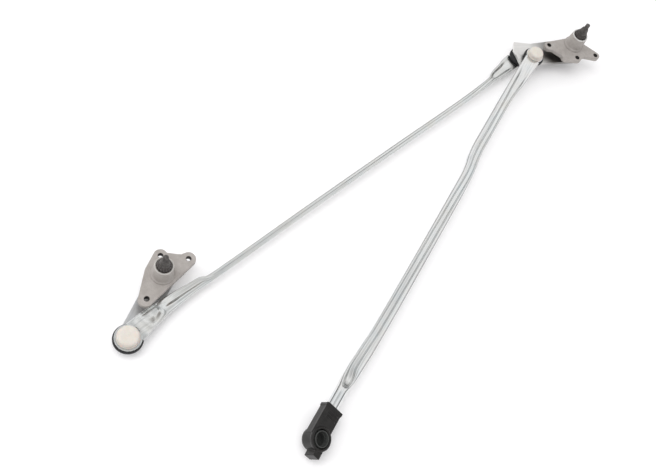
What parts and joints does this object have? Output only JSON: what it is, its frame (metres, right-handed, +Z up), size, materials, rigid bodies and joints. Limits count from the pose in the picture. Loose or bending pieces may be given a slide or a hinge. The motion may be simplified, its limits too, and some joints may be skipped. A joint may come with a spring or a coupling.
{
  "type": "windshield wiper linkage",
  "caption": "Windshield wiper transmission linkage: spindle housings with bolt flanges, cranks, a long link rod on ball joints and a drive rod ending in an open motor ball socket.",
  "frame": {"origin": "middle of the footprint, on the ground the linkage lies on", "axes": "+X along the long rod towards the right spindle, +Z up along the spindles, +Y away from the drive rod"},
  "size_m": [0.7937, 0.2916, 0.08],
  "materials": {
    "cast_grey": "die-cast, warm grey, fine grain",
    "bronze": "sintered bronze",
    "seal_rubber": "matt black rubber",
    "dark_steel": "phosphated dark steel",
    "zinc_plate": "pale zinc plate",
    "crank_zinc": "bluish grey zinc plate",
    "rod_zinc": "bright zinc plate with streaks",
    "cap_black": "dark plastic",
    "cream_nylon": "cream nylon",
    "socket_black": "black moulded plastic",
    "liner_black": "greased black plastic"
  },
  "bodies": {
    "right_mount": {"right_housing": "cast_grey", "right_bush_upper": "bronze", "right_bush_lower": "bronze", "right_seal": "seal_rubber"},
    "right_crank_set": {"right_spindle": "dark_steel", "right_crank": "zinc_plate", "right_washer": "zinc_plate", "right_circlip": "dark_steel", "right_dust_cap": "cap_black", "right_link_stud": "zinc_plate", "drive_stud": "dark_steel"},
    "link_rod_set": {"long_rod": "rod_zinc", "left_socket": "cream_nylon", "left_boot": "seal_rubber", "right_link_socket": "cream_nylon", "right_link_boot": "seal_rubber"},
    "left_crank_set": {"left_spindle": "dark_steel", "left_crank": "crank_zinc", "left_washer": "zinc_plate", "left_circlip": "dark_steel", "left_dust_cap": "cap_black", "left_stud": "dark_steel"},
    "left_mount": {"left_housing": "cast_grey", "left_bush_upper": "bronze", "left_bush_lower": "bronze", "left_seal": "seal_rubber"},
    "drive_rod_set": {"drive_rod": "rod_zinc", "drive_socket": "cream_nylon", "drive_boot": "seal_rubber", "motor_socket": "socket_black", "motor_liner": "liner_black"}
  },
  "joints": [
    {"name": "right_pivot", "type": "hinge", "parent": "right_mount", "child": "right_crank_set", "pos_m": [0.37416, 0.04689, 0.0285], "axis": [0, 0, 1], "range_deg": [-45, 45]},
    {"name": "link_joint_right", "type": "hinge", "parent": "right_crank_set", "child": "link_rod_set", "pos_m": [0.30714, 0.08481, 0.0085], "axis": [0, 0, 1], "range_deg": [-30, 5]},
    {"name": "drive_joint", "type": "hinge", "parent": "right_crank_set", "child": "drive_rod_set", "pos_m": [0.31242, 0.06876, 0.0305], "axis": [0, 0, 1], "range_deg": [-8, 45]},
    {"name": "link_joint_left", "type": "hinge", "parent": "link_rod_set", "child": "left_crank_set", "pos_m": [-0.37986, 0.08481, 0.016], "axis": [0, 0, 1], "range_deg": [-5, 60]},
    {"name": "left_pivot", "type": "hinge", "parent": "left_crank_set", "child": "left_mount", "pos_m": [-0.3072, 0.119, 0.018], "axis": [0, 0, 1], "range_deg": [-45, 45]}
  ]
}
